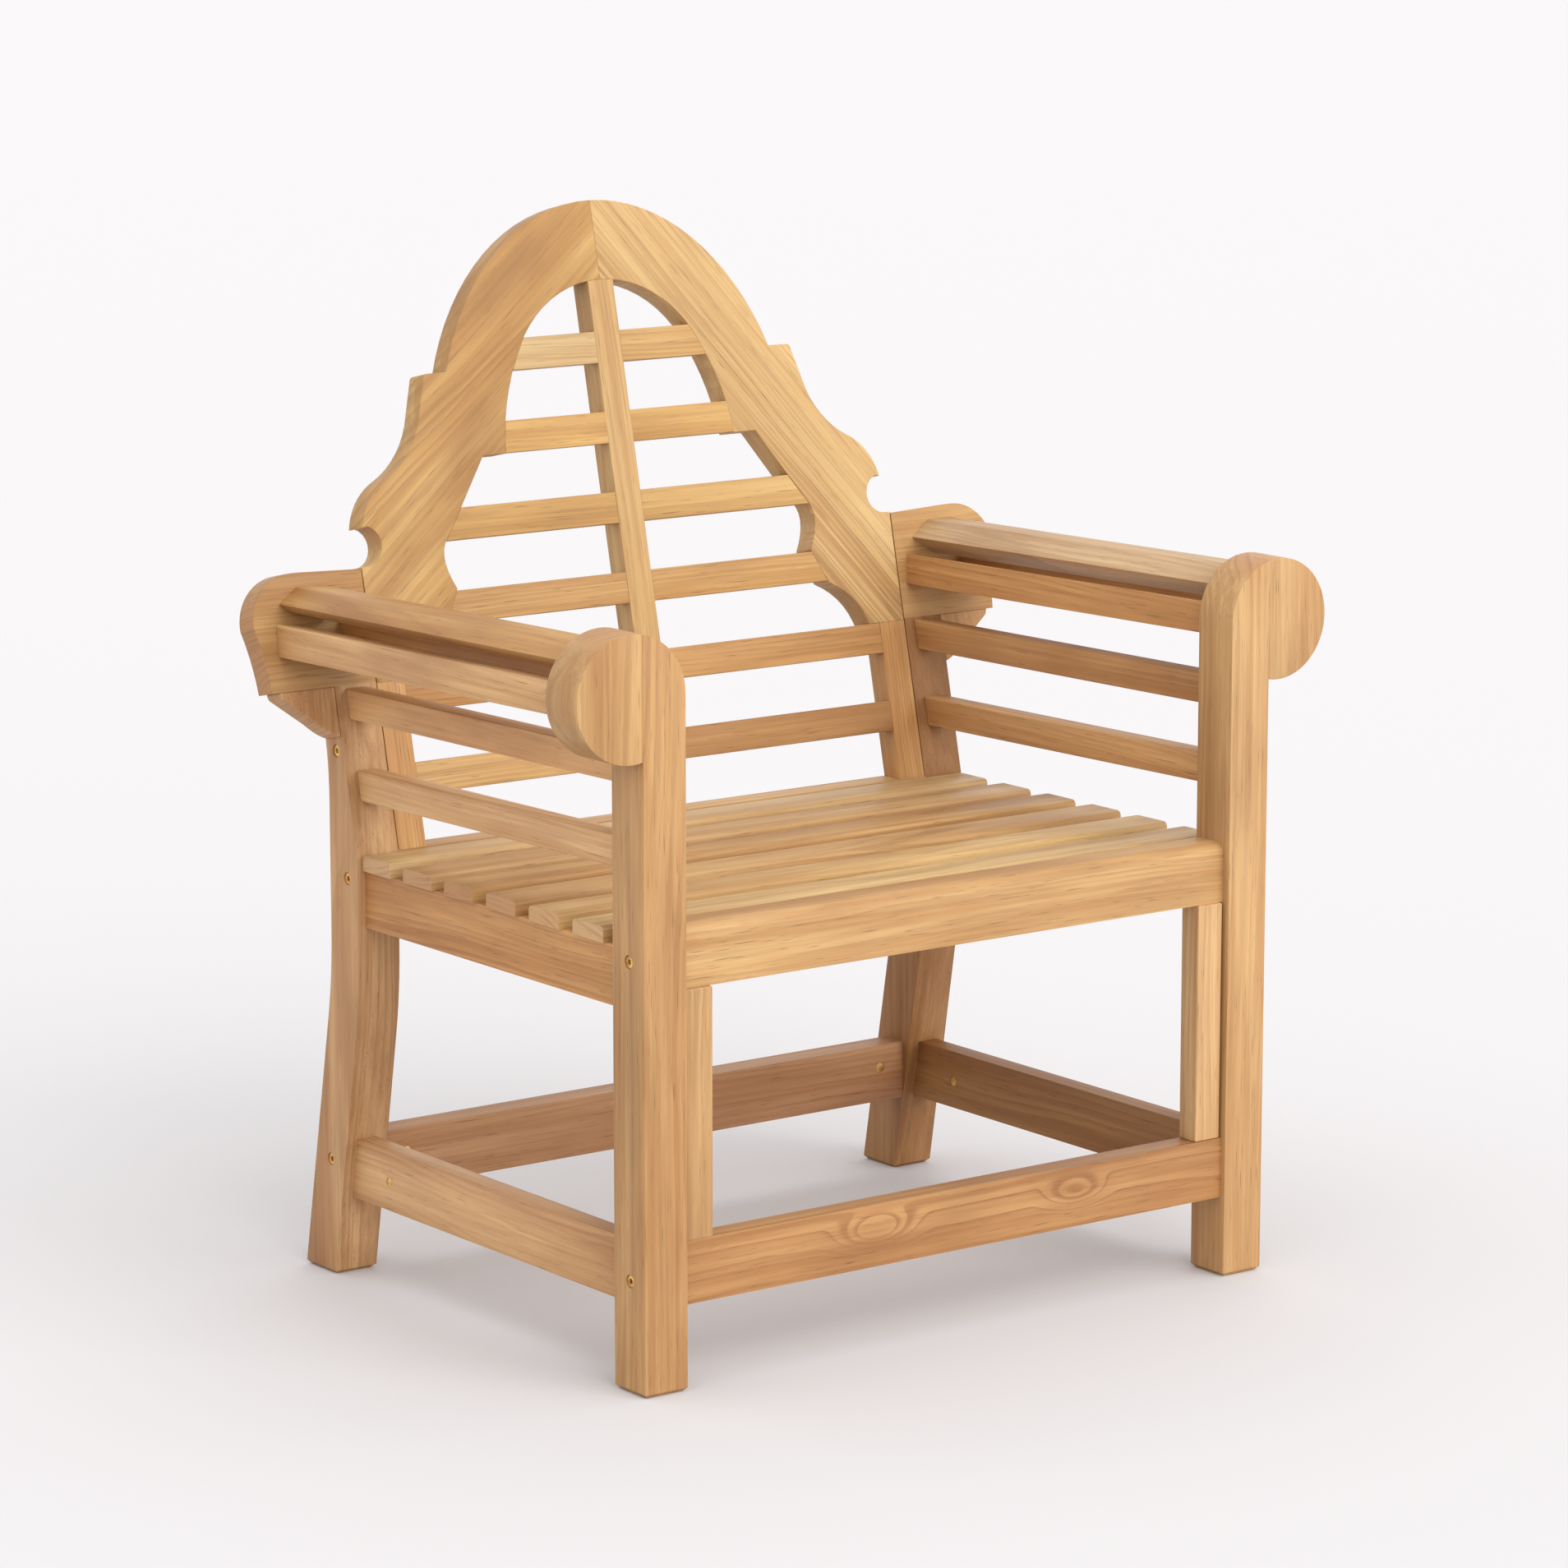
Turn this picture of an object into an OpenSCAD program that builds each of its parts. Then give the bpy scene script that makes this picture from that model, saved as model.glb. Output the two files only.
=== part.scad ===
// Single-seat teak garden armchair with an arched, slatted back, round
// scrolled arms, and a slatted seat on a low frame of stretchers.
// Millimetres, +Z up. The sitter faces -Y, and _l is the -X side.
// The origin is on the floor, under the middle of the whole chair.

/* [Overall] */
// Width over the outer faces of the legs
frame_w = 756; // [600:1:920]
// Front of the front legs to the front of the back, at the seat
seat_depth = 488; // [400:1:600]
// Floor to the top of the seat slats
seat_h = 437; // [360:1:530]
// Height of the arch above the seat, measured up the leaning back
back_rise = 629.4; // [520:0.1:760]
// Lean of the back from upright, in degrees
back_lean = 12.65; // [6:0.05:18]
// Middle of the round arm front above the seat
arm_rise = 225; // [186:1:272]

/* [Legs] */
// Width of every leg, side to side
leg_w = 48; // [40:0.5:58]
// Front to back of a front leg
leg_d = 50; // [42:0.5:60]
// Front to back of a rear leg at the seat
rear_leg_d = 49.5; // [44:0.5:60]
// How far a rear foot kicks back
rear_kick = 51; // [30:1:70]
// Front to back of a rear foot
rear_foot_d = 54.5; // [48:0.5:66]
// Chamfer round the feet
foot_chamfer = 4; // [1:0.5:6]

/* [Back] */
// Thickness of the arch, uprights, scrolls and brackets
back_t = 27; // [22:0.5:33]
// Height of a back slat
back_slat_h = 32; // [26:0.5:39]
// Thickness of a back slat
back_slat_t = 15; // [12:0.5:18]
// Width of the middle upright
muntin_w = 31; // [26:0.5:38]
// Width of the short uprights beside the rear legs
stile_w = 33; // [27:0.5:40]
// Clearance between the framed back and the leg each side
panel_gap = 1.2; // [0.6:0.1:1.6]

/* [Seat] */
// Width of a seat slat
seat_slat_w = 50; // [40:0.5:60]
// Thickness of a seat slat
seat_slat_t = 15.5; // [13:0.5:19]
// Height of the seat rails at the front and rear
seat_rail_h = 60; // [50:0.5:72]
// Thickness of the seat's side rails
side_rail_t = 25; // [20:0.5:28]

/* [Arms] */
// Radius of the round arm fronts
scroll_r = 60.5; // [52:0.5:72]
// Fall of the arm slats from front to rear
arm_fall = 10; // [0:1:20]
// Height of a side slat or rail of the arm
arm_slat_h = 31; // [26:0.5:36]
// Thickness of a side slat of the arm
arm_slat_t = 20; // [16:0.5:22]
// Thickness of the rails under the arms
arm_rail_t = 24; // [19:0.5:26]

/* [Stretchers] */
// Floor to the underside of the stretchers
stretcher_z = 82; // [70:1:98]
// Height of the stretchers
stretcher_h = 61; // [52:0.5:73]
// Thickness of the front stretcher and its uprights
stretcher_t = 26; // [22:0.5:31]
// Thickness of the side stretchers
side_stretcher_t = 22; // [18:0.5:26]

/* [Fixings] */
// Radius of a bolt's shank
bolt_r = 3; // [2.5:0.1:3.6]
// Clearance round each tenon, dowel, bolt and nut
joint_gap = 0.2; // [0.1:0.05:0.4]

/* [Hidden] */
left = -1;
right = 1;
far = 1500;

// Teak shades
teak = [0.80, 0.62, 0.42];
teak_pale = [0.86, 0.69, 0.49];
teak_brown = [0.72, 0.52, 0.34];
brass = [0.78, 0.62, 0.30];

// Joints
tenon_l = 18;
stub_l = 12;
tenon_t = 12;
front_tenon_t = 18;
rear_tenon_t = 14;
stub_t = 8;
shoulder = 5;
root = 6;
end_gap = 1;
tenon_in = 10;
stub_in = 8;

// Overall places
half_w = frame_w / 2;
half_open = half_w - leg_w;
lean_x = sin(back_lean);
lean_z = cos(back_lean);
total_d = seat_depth + back_rise * lean_x + back_t * lean_z;

// Heights up the back are laid out on a standard back and stretched to this one:
// below the arm by the arm's rise, above it by what is left of the back.
std_open = 330;
std_arm = 225;
std_rise = 629.4;
function up(s) = s <= std_arm ? s * arm_rise / std_arm
    : arm_rise + (s - std_arm) * (back_rise - arm_rise) / (std_rise - std_arm);
function out(x) = x * half_open / std_open;
function fitted(points) = [for (p = points) [out(p[0]), up(p[1])]];

// Curves
function arc(c, r, from, to, n) =
    [for (i = [0:n]) let (a = from + (to - from) * i / n) [c[0] + r * cos(a), c[1] + r * sin(a)]];
function bow(a, b, c, n) =
    [for (i = [0:n]) let (t = i / n) (1 - t) * (1 - t) * a + 2 * t * (1 - t) * b + t * t * c];
function eased(a, b, c, reach, n) =
    bow(b + reach * (a - b) / norm(a - b), b, b + reach * (c - b) / norm(c - b), n);

// Back: the arch's foot stands on the fifth row, and the leg's joint is just above it
panel_x = half_open - panel_gap;
arch_in_s = 548;
row_s = [for (k = [0:5]) up(479 - 82.2 * k)];
foot_s = row_s[4] + back_slat_h / 2;
joint_s = foot_s + 1.6;
stile_reach = half_open - stile_w + stub_l;
row_reach = [out(130), out(156), out(238), out(246), stile_reach, stile_reach];
board_top = up(283.5);
board_corner_r = 48;
board_over = 34;
board_foot_over = 71;
leg_top_y = seat_depth + joint_s * lean_x;
leg_top_z = seat_h + joint_s * lean_z;

// Seat
seat_rail_y = 9.4;
front_rail_top = seat_h + 5.5;
front_rail_z = front_rail_top - seat_rail_h + 0.5;
rear_rail_z = seat_h - seat_rail_h;
rear_rail_t = 28;
bearer_z = seat_h - seat_slat_t;
side_rail_h = 58;
side_rail_set = 9;
side_rail_x = half_w - side_rail_set - side_rail_t / 2;
bearer_h = 40;
bearer_t = 25;
slat_n = 6;
slat_over = 5;
slat_clear = 1.5;
slat_pitch = (seat_depth - slat_clear - leg_d) / slat_n;
function slat_y(i) = leg_d + slat_pitch * i - seat_slat_w;

// Arms
scroll_x = half_open + scroll_r;
scroll_z = seat_h + arm_rise;
arm_rear_y = seat_depth + arm_rise * tan(back_lean);
arm_slope = atan(arm_fall / (arm_rear_y - leg_d));
rail_fall = 0.7 * arm_fall;
rail_slope = atan(rail_fall / (arm_rear_y - leg_d));
arm_rail_h = arm_slat_h - 1;
arm_rail_x = half_w - leg_w / 2;
upper_rail_z = leg_top_z - 3.2 - arm_rail_h / 2 + rail_fall;
lower_rail_z = seat_h + 0.452 * (upper_rail_z - rail_fall - seat_h) + rail_fall;
top_slat_pin = [1, 32];
inner_slat_at = [11 + arm_slat_t / 2 - scroll_r, -2.5];
outer_slat_at = [scroll_r - 15 - arm_slat_t / 2, -2.5];
inner_tilt = 10;
outer_tilt = 3;

// Rear leg
knee_front = 0.672 * seat_h;
knee_rear = 0.703 * seat_h;
function leg_front_y(z) = seat_depth + rear_kick * max(0, 1 - z / knee_front);
function leg_rear_y(z) = seat_depth + rear_leg_d
    + (rear_kick + rear_foot_d - rear_leg_d) * max(0, 1 - z / knee_rear);

// Stretchers
stretcher_top = stretcher_z + stretcher_h;
stretcher_mid = stretcher_z + stretcher_h / 2;
stretcher_set = 5.5;
rear_stretcher_t = 30;
rear_stretcher_y = leg_front_y(stretcher_mid) + stretcher_set;
side_stretcher_set = 12;
side_stretcher_x = half_w - side_stretcher_set - side_stretcher_t / 2;
upright_x = half_open - 3;
upright_w = 31;

// Fixings
head_r = 2 * bolt_r;
head_l = 5;
head_sunk = 1.2;
socket_r = 2.9;
bore_sides = 32;
nut_r = 5;
nut_l = 24;
nut_x = half_open - 30;
bolt_l = half_w - head_sunk - head_l - nut_x + nut_r + 3;
dowel_r = 4;
dowel_l = 30;
seat_dowel_l = 22;
side_nut_y = 456 * seat_depth / 488;
front_bolt_y = leg_d / 2;
rear_bolt_y = rear_stretcher_y + nut_l - bolt_r - 1.5;
// Across bolts: place of the axis, [y, z]; the nut's near end in y
across = [
    [front_bolt_y, seat_h - 24.4, front_bolt_y - nut_l / 2],
    [seat_depth + 18.6, seat_h - 26, seat_depth + rear_rail_t - nut_l - 0.5],
    [front_bolt_y, stretcher_mid - 4, stretcher_set + stretcher_t - nut_l - 0.5],
    [rear_bolt_y, stretcher_mid + 6, rear_stretcher_y + 0.5]
];
side_bolt_z = stretcher_mid - 2;
stile_bolt_s = up(105);
stile_bolt = [
    seat_depth + stile_bolt_s * lean_x + back_t / 2 * lean_z,
    seat_h + stile_bolt_s * lean_z - back_t / 2 * lean_x
];

// --- helpers ---
module place(side) translate([0, -total_d / 2, 0]) mirror([side < 0 ? 1 : 0, 0, 0]) children();
module both() {
    children();
    mirror([1, 0, 0]) children();
}
module in_back() translate([0, seat_depth, seat_h]) rotate([90 - back_lean, 0, 0]) children();
module back_plate(t = back_t) in_back() translate([0, 0, -t]) linear_extrude(t) children();
module block(lo, hi) translate(lo) cube(hi - lo);
// A tenon's hole: the tenon with its clearance, and a space past its end
module pocket(lo, hi, along) {
    grow = [for (k = [0:2]) along[k] == 1 ? end_gap : joint_gap];
    block(lo - grow, hi + grow);
}
// A side view, drawn as [y, z], given a width from x0 to x1
module side_view(points, x0, x1) translate([x0, 0, 0]) rotate([90, 0, 90])
    linear_extrude(x1 - x0) polygon(points);
module rod_x(y, z, x0, x1, r) translate([x0, y, z]) rotate([0, 90, 0])
    cylinder(r = r, h = x1 - x0, $fn = bore_sides);
module rod_y(x, z, y0, y1, r, sides = bore_sides) translate([x, y1, z]) rotate([90, 0, 0])
    cylinder(r = r, h = y1 - y0, $fn = sides);
// Everything behind a plane that is the back's own face moved back by d
module behind_back(d) in_back() translate([-far / 2, -far / 2, -far - d]) cube(far);
// A length running back and down at an angle, trimmed between the front leg and the back
module sloped(x, z, slope, from, past) difference() {
    translate([x, leg_d, z]) rotate([90 - slope, 0, 0]) translate([0, 0, -far])
        linear_extrude(far + 100) children();
    translate([-far / 2, from - far, 0]) cube(far);
    behind_back(past);
}
module chamfer_x(y, z, x0, x1) {
    translate([x0, y, z]) rotate([45, 0, 0])
        translate([0, -foot_chamfer / sqrt(2), -foot_chamfer / sqrt(2)])
            cube([x1 - x0, foot_chamfer * sqrt(2), foot_chamfer * sqrt(2)]);
}
module foot_trim(y0, y1) {
    for (y = [y0, y1]) chamfer_x(y, 0, half_open - 1, half_w + 1);
    for (x = [half_open, half_w]) translate([x, 0, 0]) rotate([0, 0, 90]) chamfer_x(0, 0, y0 - 9, y1 + 9);
}

// --- joints shared by two pieces, for the +X side ---
// Tenons that run across the chair into the legs: front rail, rear rail, stretchers
function across_tenon(y, t, z0, z1) =
    [[half_open - root, y - t / 2, z0], [half_open + tenon_l, y + t / 2, z1]];
front_rail_tenon =
    across_tenon(front_bolt_y, front_tenon_t, front_rail_z + tenon_in, front_rail_top - tenon_in - 1);
rear_rail_tenon = across_tenon(across[1][0], rear_tenon_t, rear_rail_z + tenon_in, seat_h - tenon_in);
front_stretcher_tenon = across_tenon(front_bolt_y, tenon_t, stretcher_z + stub_in, stretcher_top - stub_in);
rear_stretcher_tenon = across_tenon(rear_bolt_y, tenon_t, stretcher_z + stub_in, stretcher_top - stub_in);
// Tenons that run front to back: the seat's side rails and the centre bearer
function along_tenon(x, y0, y1, z0, z1) =
    [[x - tenon_t / 2, y0, z0], [x + tenon_t / 2, y1, z1]];
side_rail_z = bearer_z - side_rail_h;
function side_rail_tenon(y0, y1) =
    along_tenon(side_rail_x, y0, y1, side_rail_z + tenon_in, bearer_z - tenon_in);
side_rail_front = side_rail_tenon(leg_d - tenon_l, leg_d + root);
side_rail_rear = side_rail_tenon(seat_depth - root, seat_depth + stub_l);
function bearer_tenon(y0, y1) = along_tenon(0, y0, y1, bearer_z - bearer_h + stub_in, bearer_z - stub_in);
bearer_front = bearer_tenon(leg_d - stub_l, leg_d + root);
bearer_rear = bearer_tenon(seat_depth - root, seat_depth + stub_l);
side_stretcher_front = along_tenon(
    side_stretcher_x, leg_d - tenon_l, leg_d + root, stretcher_z + stub_in, stretcher_top - stub_in
);
// Upright stubs
stub_y = 9;
muntin_foot = [
    [-muntin_w / 2 + shoulder, seat_depth + stub_y, seat_h - tenon_l],
    [muntin_w / 2 - shoulder, seat_depth + stub_y + 10, seat_h + root]
];
stile_foot = [
    [half_open - stile_w + stub_in, seat_depth + stub_y, seat_h - stub_l],
    [half_open - stub_in, seat_depth + stub_y + 10, seat_h + root]
];
upright_head = [
    [upright_x - upright_w + stub_in, stretcher_set + stub_in, front_rail_z - root],
    [upright_x - stub_in, stretcher_set + stub_in + 10, front_rail_z + stub_l - 2]
];
upright_foot = [
    [upright_x - upright_w + stub_in, stretcher_set + stub_in, stretcher_top - stub_l + 2],
    [upright_x - stub_in, stretcher_set + stub_in + 10, stretcher_top + root]
];

// The rear leg's side stretcher tenon follows the leg's sloping front
module side_stretcher_rear_tenon(grow) {
    gap = grow ? joint_gap : 0;
    past = grow ? end_gap : 0;
    z0 = stretcher_z + stub_in - gap;
    z1 = stretcher_top - stub_in + gap;
    side_view([
        [leg_front_y(z0) - root, z0], [leg_front_y(z0) + tenon_l + past, z0],
        [leg_front_y(z1) + tenon_l + past, z1], [leg_front_y(z1) - root, z1]
    ], side_stretcher_x - tenon_t / 2 - gap, side_stretcher_x + tenon_t / 2 + gap);
}
// The arm rail's tenon section, and the same with clearance
module rail_tenon(z, past, gap) {
    sloped(arm_rail_x, z, rail_slope, leg_d - tenon_l - past, tenon_l + past)
        square([tenon_t + 2 * gap, arm_rail_h - 8 + 2 * gap], center = true);
}
// Slat tenons in the back, [x0, x1] along the row
module row_tenon(k, x0, x1, gap, past) {
    in_back() translate([x0 - past, row_s[k] - back_slat_h / 2 + shoulder - gap, -(back_slat_t + stub_t) / 2 - gap])
        cube([x1 - x0 + 2 * past, back_slat_h - 2 * shoulder + 2 * gap, stub_t + 2 * gap]);
}
// A stub standing up out of an upright's head at s
module head_stub(x, s, width, gap) {
    in_back() translate([x - gap, s - root, -(back_t + stub_t) / 2 - gap])
        cube([width + 2 * gap, root + tenon_l + (gap > 0 ? end_gap : 0), stub_t + 2 * gap]);
}
module muntin_head(gap) {
    head_stub(-muntin_w / 2 + shoulder, up(arch_in_s), muntin_w - 2 * shoulder, gap);
}
module stile_head(gap) {
    head_stub(half_open - stile_w + stub_in, foot_s, stile_w - 2 * stub_in, gap);
}
module leg_head(gap) {
    head_stub(half_open + leg_w / 4, joint_s, leg_w / 2, gap);
}
// Bolt and nut bores across the chair, and the sunk seat of each head
module across_bore(k) {
    rod_x(across[k][0], across[k][1], nut_x - nut_r - 8, half_w + 1, bolt_r + joint_gap);
    rod_x(across[k][0], across[k][1], half_w - head_sunk - head_l, half_w + 1, head_r + 0.5);
}
module nut_bore(k, y0, y1) rod_y(nut_x, across[k][1], y0, y1, nut_r + joint_gap);
module side_bolt_bore() {
    y1 = leg_rear_y(side_bolt_z);
    rod_y(side_stretcher_x, side_bolt_z, side_nut_y - nut_r - 8, y1 + 9, bolt_r + joint_gap);
    rod_y(side_stretcher_x, side_bolt_z, y1 - head_sunk - head_l, y1 + 9, head_r + 0.5);
}
// Where an arm slat's dowel, at a height z in front, meets the back
function arm_reach(z) = (seat_depth + (z - seat_h) * tan(back_lean) - leg_d)
    / (cos(arm_slope) + sin(arm_slope) * tan(back_lean));
module arm_dowel_pair(at, gap) {
    past = gap > 0 ? end_gap : 0;
    translate([scroll_x + at[0], leg_d, scroll_z + at[1]]) rotate([-arm_slope, 0, 0])
        for (y = [0, arm_reach(scroll_z + at[1])])
            rod_y(0, 0, y - dowel_l / 2 - past, y + dowel_l / 2 + past, dowel_r + gap);
}
module arm_dowel_holes() {
    for (at = [top_slat_pin, inner_slat_at, outer_slat_at]) arm_dowel_pair(at, joint_gap);
}
module seat_dowel_row(x, gap) {
    past = gap > 0 ? end_gap : 0;
    for (i = [1:slat_n])
        translate([x, slat_y(i) + seat_slat_w / 2, seat_h - 5 - seat_dowel_l - past])
            cylinder(r = dowel_r + gap, h = seat_dowel_l + 2 * past, $fn = bore_sides);
}
module seat_dowel_holes() {
    both() seat_dowel_row(side_rail_x, joint_gap);
    seat_dowel_row(0, joint_gap);
}

// --- legs ---
module scroll_disc() rod_y(scroll_x, scroll_z, 0, leg_d, scroll_r, 96);
module front_leg() color(teak) difference() {
    union() {
        block([half_open, 0, 0], [half_w, leg_d, scroll_z]);
        intersection() {
            scroll_disc();
            block([half_open - 1, -1, scroll_z], [half_w, leg_d + 1, scroll_z + scroll_r + 1]);
        }
    }
    foot_trim(0, leg_d);
    pocket(front_rail_tenon[0], front_rail_tenon[1], [1, 0, 0]);
    pocket(front_stretcher_tenon[0], front_stretcher_tenon[1], [1, 0, 0]);
    pocket(side_rail_front[0], side_rail_front[1], [0, 1, 0]);
    pocket(side_stretcher_front[0], side_stretcher_front[1], [0, 1, 0]);
    rail_tenon(upper_rail_z, end_gap, joint_gap);
    rail_tenon(lower_rail_z, end_gap, joint_gap);
    across_bore(0);
    across_bore(2);
    arm_dowel_holes();
}
module front_scroll_block() color(teak) difference() {
    intersection() {
        scroll_disc();
        block(
            [half_w, -1, scroll_z - scroll_r - 1],
            [half_w + 2 * scroll_r, leg_d + 1, scroll_z + scroll_r + 1]
        );
    }
    arm_dowel_holes();
}
function rear_leg_outline() = let (
    back_y = seat_depth + rear_leg_d,
    knee_f = [seat_depth, knee_front],
    knee_r = [back_y, knee_rear],
    waist = [back_y, seat_h + 78]
) concat(
    [[leg_front_y(0), 0]],
    eased([leg_front_y(0), 0], knee_f, [seat_depth, seat_h], 45, 6),
    [[seat_depth, seat_h], [leg_top_y, leg_top_z]],
    [[leg_top_y + back_t * lean_z, leg_top_z - back_t * lean_x]],
    eased([leg_top_y + back_t * lean_z, leg_top_z - back_t * lean_x], waist, knee_r, 30, 5),
    eased(waist, knee_r, [leg_rear_y(0), 0], 45, 6),
    [[leg_rear_y(0), 0]]
);
module rear_leg() color(teak) difference() {
    union() {
        side_view(rear_leg_outline(), half_open, half_w);
        leg_head(0);
    }
    foot_trim(leg_front_y(0), leg_rear_y(0));
    pocket(rear_rail_tenon[0], rear_rail_tenon[1], [1, 0, 0]);
    pocket(rear_stretcher_tenon[0], rear_stretcher_tenon[1], [1, 0, 0]);
    pocket(side_rail_rear[0], side_rail_rear[1], [0, 1, 0]);
    side_stretcher_rear_tenon(true);
    rail_tenon(upper_rail_z, end_gap, joint_gap);
    rail_tenon(lower_rail_z, end_gap, joint_gap);
    across_bore(1);
    across_bore(3);
    side_bolt_bore();
    stile_bore();
}

// --- back ---
function board_outline() = let (
    c = [half_w + board_over, board_top - board_corner_r - 0.9],
    neck = [c[0] + board_corner_r * cos(5), c[1] - board_corner_r * sin(5)],
    heel = [half_w + board_foot_over, joint_s]
) concat(
    [[half_open, joint_s], [half_open, board_top - 3.5]],
    [[c[0] - 10, board_top - 0.5]],
    arc(c, board_corner_r + 0.4, 90, -5, 14),
    bow(neck, (neck + heel) / 2 - [3.5, 0], heel, 5)
);
module rear_scroll() color(teak) difference() {
    back_plate() polygon(board_outline());
    leg_head(joint_gap);
    arm_dowel_holes();
}
module rear_bracket() color(teak) back_plate() polygon(concat(
    [[half_w, joint_s], [half_w + 63, joint_s], [half_w + 61, joint_s - 6], [half_w + 26, joint_s - 33]],
    bow([half_w + 26, joint_s - 33], [half_w + 10, joint_s - 48], [half_w, joint_s - 50], 5)
));
// Outer edge of the arch from the crown to its foot
function arch_outer() = concat(
    [for (i = [0:16]) let (a = 90 - 67.46 * i / 16) [217 * cos(a), 365.4 + 264 * sin(a)]],
    arc([223, 461.6], 5, 90, 17, 3),
    arc([331.3, 451.2], 96, 193.6, 243, 8),
    arc([258.6, 308.7], 64, 60, 10, 8),
    arc([322.5, 301.6], 20.3, 110, 270, 10)
);
// Inner edge of the arch from its waist back to the crown
function arch_inner() = concat(
    bow([220.5, 250.5], [236.5, 280], [227.5, 296.5], 6),
    [[202, 332.5], [169.5, 379.8]],
    arc([-98.4, 361.4], 241, 4.4, 32, 7),
    arc([0, 423], 125, 36, 90, 9)
);
function arch_outline() = concat(
    fitted(arch_outer()),
    [[panel_x, up(281.3)], [panel_x, foot_s], [out(283.5), foot_s]],
    bow([out(282), foot_s + 4], [out(270), foot_s + 34], [out(238), up(214.5)], 6),
    fitted(arch_inner())
);
module back_arch(shade) color(shade) difference() {
    back_plate() polygon(arch_outline());
    for (k = [0:3]) row_tenon(k, muntin_w / 2, row_reach[k], joint_gap, end_gap);
    muntin_head(joint_gap);
    stile_head(joint_gap);
}
module stile_bore() {
    rod_x(stile_bolt[0], stile_bolt[1], half_open - stile_w + 6, half_w + 1, bolt_r + joint_gap);
    rod_x(stile_bolt[0], stile_bolt[1], half_w - head_sunk - head_l, half_w + 1, head_r + 0.5);
}
module back_stile() color(teak) difference() {
    union() {
        difference() {
            back_plate() translate([half_open - stile_w, -back_t])
                square([stile_w - panel_gap, back_t + foot_s]);
            translate([0, 0, seat_h - far]) cube(far);
        }
        stile_head(0);
        block(stile_foot[0], stile_foot[1]);
    }
    for (k = [4:5]) row_tenon(k, muntin_w / 2, row_reach[k], joint_gap, end_gap);
    stile_bore();
}
module back_muntin() color(teak) difference() {
    union() {
        difference() {
            back_plate() difference() {
                translate([-muntin_w / 2, -back_t]) square([muntin_w, back_t + up(arch_in_s) + 1]);
                both() polygon(arch_outline());
            }
            translate([-far / 2, 0, seat_h - far]) cube(far);
        }
        muntin_head(0);
        block(muntin_foot[0], muntin_foot[1]);
    }
    both() for (k = [0:5]) row_tenon(k, muntin_w / 2 - stub_l, muntin_w / 2 + 1, joint_gap, end_gap);
}
// Row k counts down from the top of the back
module back_slat(k, shade) color(shade) union() {
    back_plate(back_slat_t) difference() {
        translate([muntin_w / 2, row_s[k] - back_slat_h / 2])
            square([(k < 4 ? row_reach[k] + stub_l : half_open - stile_w) - muntin_w / 2, back_slat_h]);
        if (k < 4) polygon(arch_outline());
    }
    row_tenon(k, muntin_w / 2 - stub_l, row_reach[k], 0, 0);
}

// --- seat ---
module seat_front_rail() color(teak) difference() {
    union() {
        side_view(concat(
            [[seat_rail_y, front_rail_z], [leg_d, front_rail_z]],
            arc([leg_d - 4, front_rail_top - 4], 4, 0, 90, 4),
            arc([seat_rail_y + 12, front_rail_top - 12], 12, 90, 180, 8)
        ), -half_open, half_open);
        both() block(front_rail_tenon[0], front_rail_tenon[1]);
    }
    both() {
        across_bore(0);
        nut_bore(0, across[0][2] - 0.5, leg_d + 1);
        pocket(upright_head[0], upright_head[1], [0, 0, 1]);
    }
    pocket(bearer_front[0], bearer_front[1], [0, 1, 0]);
}
module seat_rear_rail() color(teak) difference() {
    union() {
        block([-half_open, seat_depth, rear_rail_z], [half_open, seat_depth + rear_rail_t, seat_h]);
        both() block(rear_rail_tenon[0], rear_rail_tenon[1]);
    }
    both() {
        across_bore(1);
        nut_bore(1, across[1][2] - 0.5, seat_depth + rear_rail_t + 1);
        pocket(stile_foot[0], stile_foot[1], [0, 0, 1]);
    }
    pocket(bearer_rear[0], bearer_rear[1], [0, 1, 0]);
    pocket(muntin_foot[0], muntin_foot[1], [0, 0, 1]);
}
module seat_side_rail() color(teak) difference() {
    union() {
        block(
            [side_rail_x - side_rail_t / 2, leg_d, side_rail_z],
            [side_rail_x + side_rail_t / 2, seat_depth, bearer_z]
        );
        block(side_rail_front[0], side_rail_front[1]);
        block(side_rail_rear[0], side_rail_rear[1]);
    }
    seat_dowel_holes();
}
module seat_centre_bearer() color(teak_brown) difference() {
    union() {
        block([-bearer_t / 2, leg_d, bearer_z - bearer_h], [bearer_t / 2, seat_depth, bearer_z]);
        block(bearer_front[0], bearer_front[1]);
        block(bearer_rear[0], bearer_rear[1]);
    }
    seat_dowel_holes();
}
module seat_slat(i) color(teak) difference() {
    side_view(concat(
        [[slat_y(i), bearer_z], [slat_y(i) + seat_slat_w, bearer_z]],
        arc([slat_y(i) + seat_slat_w - 5, seat_h - 5], 5, 0, 90, 5),
        arc([slat_y(i) + 5, seat_h - 5], 5, 90, 180, 5)
    ), slat_over - half_w, half_w - slat_over);
    seat_dowel_holes();
}

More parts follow.
